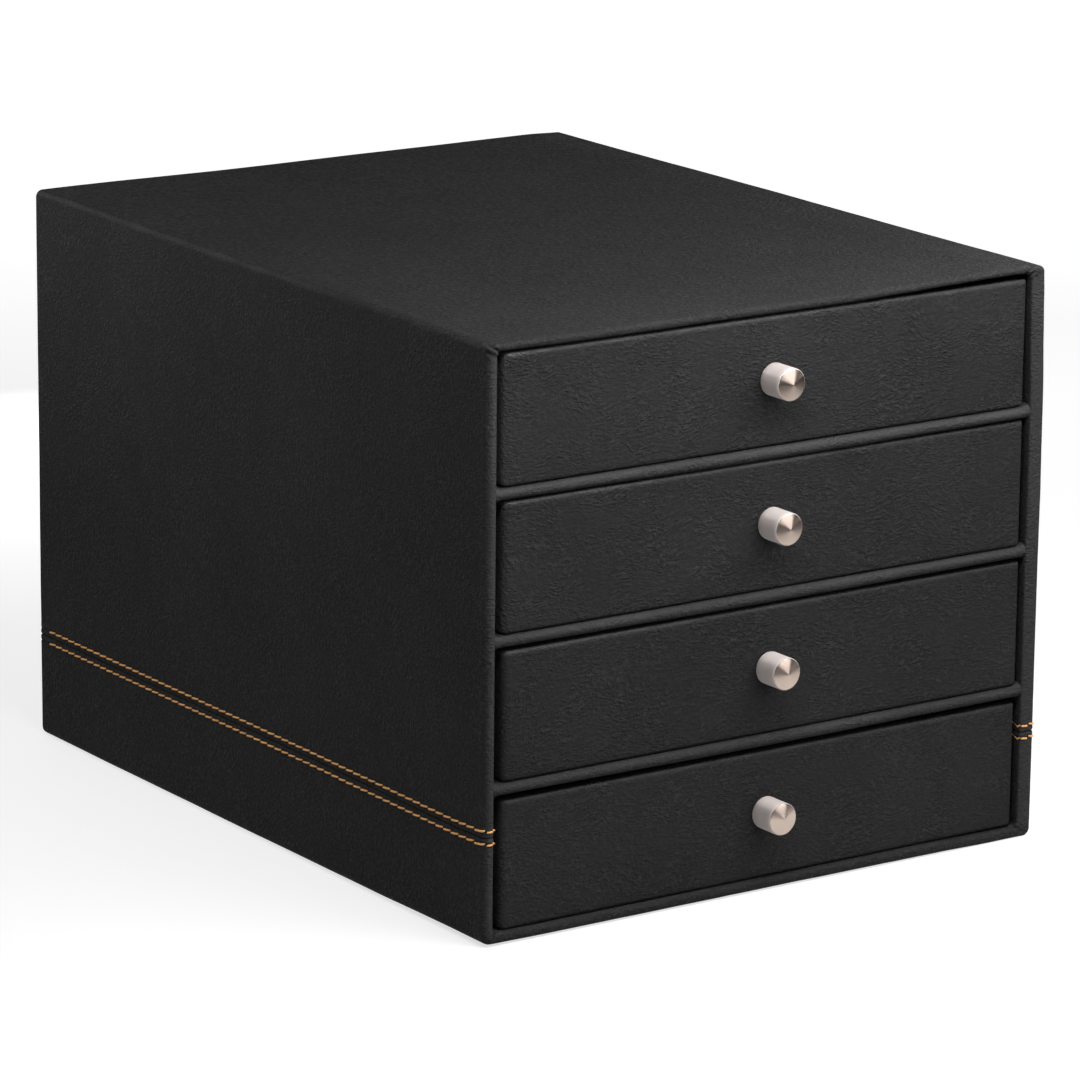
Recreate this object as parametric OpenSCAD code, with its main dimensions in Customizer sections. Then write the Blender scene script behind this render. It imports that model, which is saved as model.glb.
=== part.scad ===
// Desktop drawer box: a board case wrapped in sewn leatherette, with four
// pull-out trays that hang on nothing but the shelves below them.
// The origin is the middle of the base, on the surface the box stands on.
// +X is to the right, the drawers open towards -Y, +Z is up.

/* [Case] */
// Width of the case over its cover
case_w = 200; // [170:1:240]
// Depth of the case, rim to back sheet
case_d = 256; // [220:1:320]
// Thickness of the top board
top_board_t = 1.8; // [1.8:0.1:3]
// Thickness of the bottom, back and shelf boards
board_t = 2.4; // [2:0.1:3]
// Thickness of the two side boards
side_board_t = 3.4; // [3:0.1:4]
// Thickness of the leatherette and of the lining
cover_t = 0.4; // [0.3:0.05:0.5]
// How far the cover turns in behind the front rim
turn_in = 15; // [10:1:25]
// Thickness of the sheet under the base
base_t = 0.4; // [0.3:0.1:1]

/* [Bays] */
// Clear heights of the four bays, the top one first
bay_h = [39.9, 39.8, 40.4, 41]; // [38:0.1:46]
// How far the shelf noses stand behind the rim
shelf_recess = 0.4; // [0:0.1:2]

/* [Drawers] */
// Gap beside a drawer, at each side
side_gap = 2.2; // [1:0.1:4]
// How far each drawer stands to the right in its bay, the top one first
drawer_shift = [0.3, 0.5, 0.8, 0.5]; // [0:0.1:1]
// Gap over a drawer in the lowest bay height
top_gap = 0.7; // [0.5:0.1:2]
// Gap behind a closed drawer
rear_gap = 2; // [1:0.5:6]
// How far the drawer fronts stand behind the rim
front_recess = 1.8; // [0.5:0.1:4]
// Thickness of the side, back and bottom boards of a drawer
tray_board_t = 2; // [2:0.1:2.6]
// Thickness of the front board of a drawer
front_board_t = 4; // [3:0.1:5]

/* [Knobs] */
// Diameter of a knob
knob_d = 9.8; // [8:0.1:14]
// Length of a knob
knob_l = 9; // [8:0.5:14]
// Height of a knob over the bottom of its drawer
knob_h = 20.1; // [12:0.1:26]
// Width of the bevel round each end of a knob
knob_bevel = 0.3; // [0.2:0.1:0.8]
// Diameter of the screw that holds a knob
screw_d = 3.9; // [2.9:0.1:3.9]

/* [Seam] */
// Height of the seam between the two cover pieces
seam_z = 32.4; // [20:0.2:60]
// Distance between the two rows of stitches
stitch_gauge = 3.9; // [3:0.1:6]
// Length of one stitch along the row
stitch_pitch = 4; // [3:0.1:6]
// Thickness of the sewing thread
thread_d = 0.6; // [0.4:0.05:0.8]
// Slant of each stitch against its row, in degrees
stitch_slant = 5.5; // [0:0.5:12]

/* [Hidden] */
$fn = 48;
slack = 0.01;

// Case
top_wall_t = top_board_t + 2 * cover_t;
wall_t = board_t + 2 * cover_t;
side_wall_t = side_board_t + 2 * cover_t;
rim_flat = 0.1;
rim_r = (top_wall_t - rim_flat) / 2;
board_r = rim_r - cover_t;
case_h = base_t + 4 * wall_t + top_wall_t + bay_h[0] + bay_h[1] + bay_h[2] + bay_h[3];
body_h = case_h - base_t;
sheet_t = 0.4;
sheet_margin = 3;
back_flange = 12;
body_d = case_d - sheet_t;
bay_w = case_w - 2 * side_wall_t;
bay_d = body_d - cover_t - board_t - cover_t;
front_y = -case_d / 2;
base_sheet_inset = 4;
base_corner_r = 3;

// Floors of the four bays, the top one first
floor_4 = base_t + wall_t;
floor_3 = floor_4 + bay_h[3] + wall_t;
floor_2 = floor_3 + bay_h[2] + wall_t;
floor_1 = floor_2 + bay_h[1] + wall_t;
bay_floor = [floor_1, floor_2, floor_3, floor_4];

// Drawers
rest_gap = 0.1;
drawer_w = bay_w - 2 * side_gap;
drawer_h = min(bay_h) - top_gap - rest_gap;
drawer_l = bay_d - front_recess - rear_gap;
drawer_wall = tray_board_t + 2 * cover_t;
drawer_front_wall = front_board_t + 2 * cover_t;
drawer_r = (drawer_wall - rim_flat) / 2;
drawer_board_r = drawer_r - cover_t;
drawer_turn = 13;
drawer_y = front_y + front_recess;

// Knob hardware
hole_d = screw_d + 0.5;
knob_bore_d = screw_d + 0.1;
knob_bore_l = 7;
screw_l = 10;
head_d = 7;
head_h = 2.4;
slot_w = 1;
slot_t = 1.1;
washer_d = 9;
washer_t = 0.8;

// Seam
row_z = [seam_z - stitch_gauge / 2, seam_z + stitch_gauge / 2];
row_start = 2.5;
row_l = body_d - 2 * row_start;
stitches = floor(row_l / stitch_pitch);
stitch_step = row_l / stitches;
needle_gap = 0.3;
stitch_l = (stitch_step - needle_gap) / cos(stitch_slant);
stitch_t = 0.3;
channel_w = thread_d + 0.6;
channel_t = 0.15;
groove = 0.4;

leather_colour = [0.16, 0.16, 0.165];
board_colour = [0.52, 0.5, 0.46];
lining_colour = [0.1, 0.1, 0.1];
thread_colour = [0.78, 0.57, 0.36];
metal_colour = [0.72, 0.68, 0.66];

// ---- Shared forms -------------------------------------------------------

// Box between two opposite corners
module box(lo, hi) {
    translate(lo) cube(hi - lo);
}

// Rectangle with rounded corners, x centred, y from 0 up
module soft_rect(w, l, r) {
    translate([-w / 2 + r, 0]) square([w - 2 * r, l]);
    translate([-w / 2, r]) square([w, l - 2 * r]);
    for (x = [-w / 2 + r, w / 2 - r], y = [r, l - r]) translate([x, y]) circle(r);
}

// Block with every edge rounded, x centred, y and z from 0 up
module soft_block(w, l, h, r) {
    translate([0, 0, r]) linear_extrude(h - 2 * r) soft_rect(w, l, r);
    translate([0, r, 0]) linear_extrude(h) translate([-w / 2 + r, 0]) square([w - 2 * r, l - 2 * r]);
    for (z = [r, h - r]) {
        for (y = [r, l - r])
            translate([-w / 2 + r, y, z]) rotate([0, 90, 0]) cylinder(h = w - 2 * r, r = r);
        for (x = [-w / 2 + r, w / 2 - r]) {
            translate([x, r, z]) rotate([-90, 0, 0]) cylinder(h = l - 2 * r, r = r);
            for (y = [r, l - r]) translate([x, y, z]) sphere(r);
        }
    }
}

// What is cut from a block to open it at the top: a well from z0 up to the
// rim at z1, with the inner edge of the rim rounded over by r
module well(w, y0, y1, z0, z1, r) {
    box([-w / 2, y0, z0], [w / 2, y1, z1 + 1]);
    difference() {
        box([-w / 2 - r, y0 - r, z1 - r], [w / 2 + r, y1 + r, z1 + 1]);
        for (y = [y0 - r, y1 + r]) translate([-w, y, z1 - r]) rotate([0, 90, 0]) cylinder(h = 2 * w, r = r);
        for (x = [-w / 2 - r, w / 2 + r])
            translate([x, y0 - w, z1 - r]) rotate([-90, 0, 0]) cylinder(h = y1 - y0 + 2 * w, r = r);
    }
}

// ---- Case, drawn lying on its back: y is up the box, z towards the front --

// Sets the case upright on its base sheet, rim at the front
module stand_up() {
    translate([0, front_y + body_d, base_t]) rotate([90, 0, 0]) children();
}

// The four wall boards glued up as one ring, before they are told apart
module wall_boards() {
    h = body_h - 2 * cover_t;
    d = body_d - 2 * cover_t;
    translate([0, cover_t, cover_t]) difference() {
        soft_block(case_w - 2 * cover_t, h, d, board_r);
        well(case_w - 2 * cover_t - 2 * side_board_t, board_t, h - top_board_t, -1, d, board_r);
    }
}

// The cover of the whole case before it is parted at the seam: skin, front
// turn-in and back flange
module whole_cover() {
    inner_w = bay_w + 2 * cover_t;
    difference() {
        soft_block(case_w, body_h, body_d, rim_r);
        wall_boards();
        well(bay_w, wall_t, body_h - top_wall_t, body_d - turn_in, body_d, rim_r);
        box([-inner_w / 2, wall_t - cover_t, cover_t],
            [inner_w / 2, body_h - top_wall_t + cover_t, body_d - turn_in]);
        box([-case_w / 2 + back_flange, back_flange, -1],
            [case_w / 2 - back_flange, body_h - back_flange, cover_t + slack]);
    }
}

// Shallow valleys that the stitches pull into the cover, and the notch where
// its two pieces meet
module seam_relief() {
    for (side = [-1, 1]) {
        for (z = row_z) translate([side * case_w / 2, front_y + row_start, z])
            box([-channel_t, -thread_d, -channel_w / 2], [channel_t, row_l + thread_d, channel_w / 2]);
        translate([side * case_w / 2, front_y - 1, seam_z]) rotate([0, 45, 0])
            box([-groove / 2, 0, -groove / 2], [groove / 2, case_d + 2, groove / 2]);
    }
}

module top_board() {
    color(board_colour)
    intersection() {
        stand_up() wall_boards();
        box([-case_w, -case_d, case_h - cover_t - top_board_t], [case_w, case_d, case_h]);
    }
}

module bottom_board() {
    color(board_colour)
    intersection() {
        stand_up() wall_boards();
        box([-case_w, -case_d, 0], [case_w, case_d, base_t + cover_t + board_t]);
    }
}

// Side board from above, inner face on x = 0 and front edge on y = 0: both
// front corners and the outer back corner are rounded
module side_outline() {
    l = body_d - 2 * cover_t;
    translate([0, board_r]) square([side_board_t, l - 2 * board_r]);
    translate([board_r, 0]) square([side_board_t - 2 * board_r, l]);
    translate([0, l / 2]) square([side_board_t - board_r, l / 2]);
    for (x = [board_r, side_board_t - board_r]) translate([x, board_r]) circle(board_r);
    translate([side_board_t - board_r, l - board_r]) circle(board_r);
}

// Stands between the top board and the bottom board
module right_board() {
    color(board_colour)
    translate([case_w / 2 - cover_t - side_board_t, front_y + cover_t, base_t + cover_t + board_t])
    linear_extrude(body_h - 2 * cover_t - top_board_t - board_t) side_outline();
}

module left_board() {
    mirror([1, 0, 0]) right_board();
}

// Set in between the four walls, flush with their back edges
module back_board() {
    w = bay_w + 2 * cover_t;
    back_y = front_y + body_d - cover_t;
    color(board_colour)
    box([-w / 2, back_y - board_t, base_t + wall_t - cover_t],
        [w / 2, back_y, case_h - top_wall_t + cover_t]);
}

// Dark paper on the inside of the walls and the back
module case_lining() {
    w = bay_w + 2 * cover_t;
    start_y = front_y + turn_in;
    back_y = front_y + bay_d;
    color(lining_colour)
    difference() {
        box([-w / 2, start_y, base_t + wall_t - cover_t],
            [w / 2, back_y + cover_t, case_h - top_wall_t + cover_t]);
        box([-bay_w / 2, start_y - 1, base_t + wall_t], [bay_w / 2, back_y, case_h - top_wall_t]);
    }
}

module upper_cover() {
    color(leather_colour)
    difference() {
        intersection() {
            stand_up() whole_cover();
            box([-case_w, -case_d, seam_z], [case_w, case_d, case_h + 1]);
        }
        seam_relief();
    }
}

module lower_cover() {
    color(leather_colour)
    difference() {
        intersection() {
            stand_up() whole_cover();
            box([-case_w, -case_d, -1], [case_w, case_d, seam_z]);
        }
        seam_relief();
    }
}

// One row of slanting stitches along +x, each running into the next one at
// its needle hole
module stitch_row() {
    for (i = [0 : stitches - 1]) translate([stitch_step * (i + 0.5), 0]) rotate(-stitch_slant) {
        translate([-stitch_l / 2, -thread_d / 2]) square([stitch_l, thread_d]);
        for (x = [-stitch_l / 2, stitch_l / 2]) translate([x, 0]) circle(thread_d / 2);
    }
}

// Both rows on the right side; the left side is their mirror image
module stitching() {
    for (z = row_z) translate([case_w / 2 - channel_t, front_y + row_start, z])
        rotate([90, 0, 90]) linear_extrude(stitch_t) stitch_row();
}

module left_stitching() {
    color(thread_colour)
    mirror([1, 0, 0]) stitching();
}

module right_stitching() {
    color(thread_colour)
    stitching();
}

// Pasted over the flange at the back, and sunk onto the board inside it
module back_sheet() {
    back_y = front_y + case_d;
    window_w = case_w - 2 * back_flange;
    color(leather_colour) {
        box([-case_w / 2 + sheet_margin, back_y - sheet_t, base_t + sheet_margin],
            [case_w / 2 - sheet_margin, back_y, case_h - sheet_margin]);
        box([-window_w / 2, back_y - sheet_t - cover_t, base_t + back_flange],
            [window_w / 2, back_y - sheet_t + slack, case_h - back_flange]);
    }
}

module base_sheet() {
    l = case_d - 2 * base_sheet_inset;
    color(lining_colour)
    translate([0, front_y + base_sheet_inset, 0]) linear_extrude(base_t)
        soft_rect(case_w - 2 * base_sheet_inset, l, base_corner_r);
}

// ---- Shelves ------------------------------------------------------------

// Outline of a shelf from the side, nose at the left: half-round in front
module shelf_outline(t, l) {
    translate([t / 2, 0]) square([l - t / 2, t]);
    translate([t / 2, t / 2]) circle(t / 2);
}

// Lays a side outline across the bay, on top of the bay whose index is given
module across_bay(bay, w) {
    z = bay_floor[bay + 1] + bay_h[bay + 1];
    translate([-w / 2, front_y + shelf_recess, z])
    rotate([90, 0, 90]) linear_extrude(w) children();
}

module shelf_board(bay) {
    color(board_colour)
    across_bay(bay, bay_w)
        translate([cover_t, cover_t]) shelf_outline(board_t, bay_d - shelf_recess - cover_t);
}

// One sheet, over the shelf, round its nose and back along its underside
module shelf_cover(bay) {
    l = bay_d - shelf_recess;
    color(leather_colour)
    across_bay(bay, bay_w) difference() {
        shelf_outline(wall_t, l);
        translate([cover_t, cover_t]) shelf_outline(board_t, l);
    }
}

// ---- Drawers: drawn with the front face on y = 0, resting on z = 0 --------

module place_drawer(n) {
    translate([drawer_shift[n - 1], drawer_y, bay_floor[n - 1] + rest_gap]) children();
}

// Clearance hole for the screw, through the whole drawer front
module screw_hole() {
    translate([0, -1, knob_h]) rotate([-90, 0, 0]) cylinder(h = drawer_front_wall + 2, d = hole_d);
}

// All the board of one drawer: front, sides, back and bottom
module drawer_boards() {
    w = drawer_w - 2 * cover_t;
    l = drawer_l - 2 * cover_t;
    h = drawer_h - 2 * cover_t;
    translate([0, cover_t, cover_t]) difference() {
        soft_block(w, l, h, drawer_board_r);
        well(w - 2 * tray_board_t, front_board_t, l - tray_board_t, tray_board_t, h, drawer_board_r);
    }
}

// Runs the whole width of the drawer, with the hole for the knob's screw
module drawer_front_board(n) {
    color(board_colour)
    place_drawer(n) difference() {
        intersection() {
            drawer_boards();
            box([-drawer_w, 0, 0], [drawer_w, cover_t + front_board_t, drawer_h]);
        }
        screw_hole();
    }
}

module drawer_back_board(n) {
    color(board_colour)
    place_drawer(n) intersection() {
        drawer_boards();
        box([-drawer_w, drawer_l - cover_t - tray_board_t, 0], [drawer_w, drawer_l, drawer_h]);
    }
}

// Side board from behind, inner face on x = 0 and bottom edge on y = 0: both
// top corners and the outer bottom corner are rounded
module drawer_side_outline() {
    h = drawer_h - 2 * cover_t;
    r = drawer_board_r;
    translate([0, h / 2]) square([tray_board_t, h / 2 - r]);
    translate([r, h / 2]) square([tray_board_t - 2 * r, h / 2]);
    translate([0, r]) square([tray_board_t, h / 2]);
    square([tray_board_t - r, h / 2]);
    for (x = [r, tray_board_t - r]) translate([x, h - r]) circle(r);
    translate([tray_board_t - r, r]) circle(r);
}

// Stands between the front board and the back board
module drawer_side() {
    l = drawer_l - 2 * cover_t - front_board_t - tray_board_t;
    x = drawer_w / 2 - cover_t - tray_board_t;
    translate([x, cover_t + front_board_t + l, cover_t])
    rotate([90, 0, 0]) linear_extrude(l) drawer_side_outline();
}

module drawer_left_board(n) {
    color(board_colour)
    place_drawer(n) mirror([1, 0, 0]) drawer_side();
}

module drawer_right_board(n) {
    color(board_colour)
    place_drawer(n) drawer_side();
}

// Set in between the four walls
module drawer_bottom_board(n) {
    w = drawer_w - 2 * drawer_wall + 2 * cover_t;
    color(board_colour)
    place_drawer(n) box([-w / 2, cover_t + front_board_t, cover_t],
                        [w / 2, drawer_l - drawer_wall + cover_t, cover_t + tray_board_t]);
}

// Round all four walls, over their top edges and a little way under the bottom
module drawer_cover(n) {
    inner_w = drawer_w - 2 * drawer_wall;
    board_w = inner_w + 2 * cover_t;
    color(leather_colour)
    place_drawer(n) difference() {
        soft_block(drawer_w, drawer_l, drawer_h, drawer_r);
        drawer_boards();
        well(inner_w, drawer_front_wall, drawer_l - drawer_wall, drawer_h - drawer_turn, drawer_h, drawer_r);
        box([-board_w / 2, drawer_front_wall - cover_t, drawer_wall - cover_t],
            [board_w / 2, drawer_l - drawer_wall + cover_t, drawer_h - drawer_turn]);
        box([-drawer_w / 2 + drawer_turn, drawer_turn, -1],
            [drawer_w / 2 - drawer_turn, drawer_l - drawer_turn, cover_t + slack]);
        screw_hole();
    }
}

// Paper over the bottom and up the walls to the turned-in cover
module drawer_lining(n) {
    inner_w = drawer_w - 2 * drawer_wall;
    board_w = inner_w + 2 * cover_t;
    color(lining_colour)
    place_drawer(n) difference() {
        box([-board_w / 2, drawer_front_wall - cover_t, drawer_wall - cover_t],
            [board_w / 2, drawer_l - drawer_wall + cover_t, drawer_h - drawer_turn]);
        box([-inner_w / 2, drawer_front_wall, drawer_wall],
            [inner_w / 2, drawer_l - drawer_wall, drawer_h]);
        screw_hole();
    }
}

// ---- Knobs --------------------------------------------------------------

// Puts a turned piece on the screw's axis, its z pointing out of the front
module on_knob_axis(n, y) {
    place_drawer(n) translate([0, y, knob_h]) rotate([90, 0, 0]) children();
}

// Turned rod with both ends bevelled and a blind bore for the screw
module knob(n) {
    color(metal_colour)
    on_knob_axis(n, 0) difference() {
        rotate_extrude() polygon([
            [0, 0], [knob_d / 2 - knob_bevel, 0], [knob_d / 2, knob_bevel],
            [knob_d / 2, knob_l - knob_bevel], [knob_d / 2 - knob_bevel, knob_l], [0, knob_l]
        ]);
        translate([0, 0, -1]) cylinder(h = knob_bore_l + 1, d = knob_bore_d);
    }
}

module washer(n) {
    color(metal_colour)
    on_knob_axis(n, drawer_front_wall + washer_t) difference() {
        cylinder(h = washer_t, d = washer_d);
        translate([0, 0, -1]) cylinder(h = washer_t + 2, d = hole_d);
    }
}

// Pan head with a domed edge and a plain slot
module screw(n) {
    edge_r = head_h / 2;
    color(metal_colour)
    on_knob_axis(n, drawer_front_wall + washer_t + head_h) {
        difference() {
            rotate_extrude() {
                square([head_d / 2 - edge_r, head_h]);
                translate([0, edge_r]) square([head_d / 2, head_h - edge_r]);
                intersection() {
                    translate([head_d / 2 - edge_r, edge_r]) circle(edge_r);
                    square([head_d / 2, edge_r]);
                }
            }
            box([-head_d, -slot_w / 2, -1], [head_d, slot_w / 2, slot_t]);
        }
        translate([0, 0, head_h]) cylinder(h = screw_l, d = screw_d);
    }
}

top_board();
bottom_board();
left_board();
right_board();
back_board();
case_lining();
upper_cover();
lower_cover();
left_stitching();
right_stitching();
back_sheet();
base_sheet();
shelf_board(0);  // upper_shelf_board
shelf_board(1);  // middle_shelf_board
shelf_board(2);  // lower_shelf_board
shelf_cover(0);  // upper_shelf_cover
shelf_cover(1);  // middle_shelf_cover
shelf_cover(2);  // lower_shelf_cover
drawer_front_board(1);  // drawer_1_front_board
drawer_front_board(2);  // drawer_2_front_board
drawer_front_board(3);  // drawer_3_front_board
drawer_front_board(4);  // drawer_4_front_board
drawer_back_board(1);  // drawer_1_back_board
drawer_back_board(2);  // drawer_2_back_board
drawer_back_board(3);  // drawer_3_back_board
drawer_back_board(4);  // drawer_4_back_board
drawer_left_board(1);  // drawer_1_left_board
drawer_left_board(2);  // drawer_2_left_board
drawer_left_board(3);  // drawer_3_left_board
drawer_left_board(4);  // drawer_4_left_board
drawer_right_board(1);  // drawer_1_right_board
drawer_right_board(2);  // drawer_2_right_board
drawer_right_board(3);  // drawer_3_right_board
drawer_right_board(4);  // drawer_4_right_board
drawer_bottom_board(1);  // drawer_1_bottom_board
drawer_bottom_board(2);  // drawer_2_bottom_board
drawer_bottom_board(3);  // drawer_3_bottom_board
drawer_bottom_board(4);  // drawer_4_bottom_board
drawer_cover(1);  // drawer_1_cover
drawer_cover(2);  // drawer_2_cover
drawer_cover(3);  // drawer_3_cover
drawer_cover(4);  // drawer_4_cover
drawer_lining(1);  // drawer_1_lining
drawer_lining(2);  // drawer_2_lining
drawer_lining(3);  // drawer_3_lining
drawer_lining(4);  // drawer_4_lining
knob(1);  // drawer_1_knob
knob(2);  // drawer_2_knob
knob(3);  // drawer_3_knob
knob(4);  // drawer_4_knob
screw(1);  // drawer_1_screw
screw(2);  // drawer_2_screw
screw(3);  // drawer_3_screw
screw(4);  // drawer_4_screw
washer(1);  // drawer_1_washer
washer(2);  // drawer_2_washer
washer(3);  // drawer_3_washer
washer(4);  // drawer_4_washer
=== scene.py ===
import math

import bpy
from mathutils import Matrix, Vector, noise


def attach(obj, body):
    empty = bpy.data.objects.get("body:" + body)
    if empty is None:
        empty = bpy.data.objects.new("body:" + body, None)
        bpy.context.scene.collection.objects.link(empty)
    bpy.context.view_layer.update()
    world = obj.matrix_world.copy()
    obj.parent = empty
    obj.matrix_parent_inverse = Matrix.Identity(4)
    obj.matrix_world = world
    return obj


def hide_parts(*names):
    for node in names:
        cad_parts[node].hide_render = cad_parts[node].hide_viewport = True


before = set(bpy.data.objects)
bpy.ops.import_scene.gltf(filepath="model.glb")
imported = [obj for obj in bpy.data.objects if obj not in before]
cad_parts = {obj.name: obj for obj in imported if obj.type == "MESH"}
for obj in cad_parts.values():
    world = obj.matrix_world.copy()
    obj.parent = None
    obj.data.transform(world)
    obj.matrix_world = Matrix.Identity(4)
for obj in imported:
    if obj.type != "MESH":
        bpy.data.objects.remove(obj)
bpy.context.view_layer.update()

# ---- Sizes, in millimetres, as the case and the drawers are built ----

MM = 0.001
CASE_W = 200.0
FRONT, BACK = -128.0, 127.6
BASE, TOP = 0.4, 176.9
SIDE_WALL, TOP_WALL, WALL = 4.2, 2.6, 3.2
TOP_CORNER, LOW_CORNER = 2.25, 2.4
# How far the cover runs into the opening, and over the back round its edge
TURN_IN = 15.0
BACK_FLANGE = 12.0
BACK_EDGE_R = 1.25
# The seam between the two covers, and how far above and below it a row of stitches runs
SEAM_Z = 32.8
ROW_GAP = 1.95
# Floors of the four bays, the top one first
FLOORS = (134.4, 91.4, 47.8, 3.6)
BAY_D = 252.4
SHELF_RECESS = 0.4
CASE_SKIN, THIN_SKIN = 0.35, 0.3

DRAWER_W, DRAWER_L, DRAWER_H = 187.2, 248.6, 39.0
DRAWER_FRONT = -126.2
# How far right of the middle each drawer rests
DRAWER_SHIFT = (0.3, 0.5, 0.8, 0.5)
DRAWER_WALL, DRAWER_FRONT_WALL = 2.8, 4.8
DRAWER_TURN = 13.0
DRAWER_CORNER = 1.95
REST_GAP = 0.1

KNOB_R, KNOB_L, KNOB_H = 4.9, 9.0, 20.1
KNOB_BEVEL, KNOB_SIDES = 0.35, 96
# Height of the cone on a knob's face
FACE_RISE = 0.9

# Sides of a ring, and their order in every list of four
LEFT, UP, RIGHT, DOWN = 0, 1, 2, 3


def smooth(value, low, high):
    """0 below low, 1 above high, and a soft step between."""
    t = min(1.0, max(0.0, (value - low) / (high - low)))
    return t * t * (3 - 2 * t)


def bell(value, middle, width):
    """1 at the middle, falling softly to 0 on both sides."""
    return math.exp(-((value - middle) / width) ** 2)


def between(value, table):
    """Reads a table of (place, amount) pairs, softly from pair to pair."""
    if value <= table[0][0]:
        return table[0][1]
    for (low, a), (high, b) in zip(table, table[1:]):
        if value <= high:
            return a + (b - a) * smooth(value, low, high)
    return table[-1][1]


def uneven(point, size, seed):
    """Smooth noise in -1 to 1, with swells of about size millimetres."""
    return noise.noise(Vector(point) / size + Vector((seed * 7.3, seed * 3.1, -seed * 5.7)))


# ---- Sheets wrapped round a rectangular section ----

def graded(low, high, fine, coarse, growth=1.5):
    """Places from low to high, close together at both ends."""
    head, place, step = [], low, fine
    while place < (low + high) / 2 - coarse / 2:
        head.append(place)
        place += step
        step = min(coarse, step * growth)
    tail = [low + high - p for p in reversed(head)]
    return head + ([(low + high) / 2] if tail[0] - head[-1] > coarse else []) + tail


def corner_stations(corner, steps):
    """Stations of a ring round one corner; corner 0 is the one after the left side."""
    return [("corner", corner, (i + 1) / (steps + 1)) for i in range(steps)]


def slide_along(place, low, high, ring_low, ring_high, reach=24.0):
    """Moves a place on an outer edge to where it lies on an inner ring."""
    return (place + (ring_low - low) * max(0.0, 1 - (place - low) / reach)
            + (ring_high - high) * max(0.0, 1 - (high - place) / reach))


def ring_point(station, rect, outer_r, inset, radius, height):
    """One point of a ring: rect is (a0, a1, b0, b1), inset and height go by side.

    A station is ("side", side, place along it) or ("corner", corner, part of its turn).
    """
    a0, a1, b0, b1 = rect
    left, right = a0 + inset[LEFT], a1 - inset[RIGHT]
    low, high = b0 + inset[DOWN], b1 - inset[UP]
    if station[0] == "corner":
        corner, part = station[1], station[2]
        centre = ((left + radius, high - radius), (right - radius, high - radius),
                  (right - radius, low + radius), (left + radius, low + radius))[corner]
        angle = math.radians((180, 90, 0, -90)[corner] - 90 * part)
        level = height[corner] + (height[(corner + 1) % 4] - height[corner]) * smooth(part, 0, 1)
        return (centre[0] + radius * math.cos(angle), centre[1] + radius * math.sin(angle), level)
    side, place = station[1], station[2]
    if side in (LEFT, RIGHT):
        place = slide_along(place, b0 + outer_r, b1 - outer_r, low + radius, high - radius)
        return (left if side == LEFT else right, place, height[side])
    place = slide_along(place, a0 + outer_r, a1 - outer_r, left + radius, right - radius)
    return (place, high if side == UP else low, height[side])


def normals_of(rows, closed):
    """Unit normals of a grid of points, by the slopes along and across it."""
    result = []
    for j, row in enumerate(rows):
        above, below = rows[min(j + 1, len(rows) - 1)], rows[max(j - 1, 0)]
        line = []
        for i in range(len(row)):
            if closed:
                after, before = row[(i + 1) % len(row)], row[i - 1]
            else:
                after, before = row[min(i + 1, len(row) - 1)], row[max(i - 1, 0)]
            normal = (after - before).cross(above[i] - below[i])
            line.append(normal.normalized() if normal.length > 1e-9 else Vector((0, 0, 1)))
        result.append(line)
    return result


def new_object(name, data):
    """An object in the scene, made of some data."""
    thing = bpy.data.objects.new(name, data)
    bpy.context.scene.collection.objects.link(thing)
    return thing


def add_mesh(name, points, faces, smooth_faces=True, uvs=None, painted_light=None):
    """An object from points in millimetres, with an optional tone per point: above 0 a painted highlight,
    below 0 painted shade in a crease or groove.
    """
    mesh = bpy.data.meshes.new(name)
    mesh.from_pydata([Vector(p) * MM for p in points], [], faces)
    if smooth_faces:
        mesh.shade_smooth()
    if uvs:
        layer = mesh.uv_layers.new(name="UVMap")
        for loop in mesh.loops:
            layer.data[loop.index].uv = uvs[loop.vertex_index]
    if painted_light:
        layer = mesh.attributes.new("painted_light", "FLOAT", "POINT")
        layer.data.foreach_set("value", painted_light)
    mesh.validate()
    return new_object(name, mesh)


def grid_faces(rows, columns, closed, start=0):
    """Quads between the rows of a grid; a closed one joins its last column to its first."""
    faces = []
    for j in range(rows - 1):
        for i in range(columns if closed else columns - 1):
            k = (i + 1) % columns
            a, b = start + j * columns, start + (j + 1) * columns
            faces.append((a + i, a + k, b + k, b + i))
    return faces


def tube_faces(rows, columns, start=0):
    """Faces of a closed grid whose first and last rings are filled."""
    last = start + (rows - 1) * columns
    return (grid_faces(rows, columns, True, start)
            + [tuple(reversed(range(start, start + columns))), tuple(range(last, last + columns))])


def thicken(piece, thickness):
    """Gives a sheet its thickness, on the side away from its normals."""
    solid = piece.modifiers.new("thickness", "SOLIDIFY")
    solid.thickness = thickness * MM
    solid.offset = -1
    bpy.context.view_layer.objects.active = piece
    bpy.ops.object.modifier_apply(modifier=solid.name)


# ---- The case's cover ----

CASE_RECT = (-CASE_W / 2, CASE_W / 2, BASE, TOP)
WALLS = (SIDE_WALL, TOP_WALL, SIDE_WALL, WALL)
# How deep the rim's round goes, outside and inside, and its power: 1 is an ellipse, less is squarer
BEAD = (2.6, 1.3, 1.7, 1.6)
INNER_BEAD = (3.3, 1.4, 1.0, 1.8)
OUTER_POWER = (0.95, 0.9, 0.55, 0.8)
INNER_POWER = (0.95, 0.9, 0.38, 0.9)
BEAD_STEPS = 20
# Rings inside the opening, by their distance behind the round; None is the turn-in's end
INNER_RINGS = (None, 9, 6, 4, 2.5, 1.3, 0.5)
# Where the rings behind the rim begin, past the deepest round of the outside
WALL_START = 3.2
# How much wider the right wall is at its rim, where its cover is folded over itself
RIGHT_FLARE = 1.0
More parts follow.
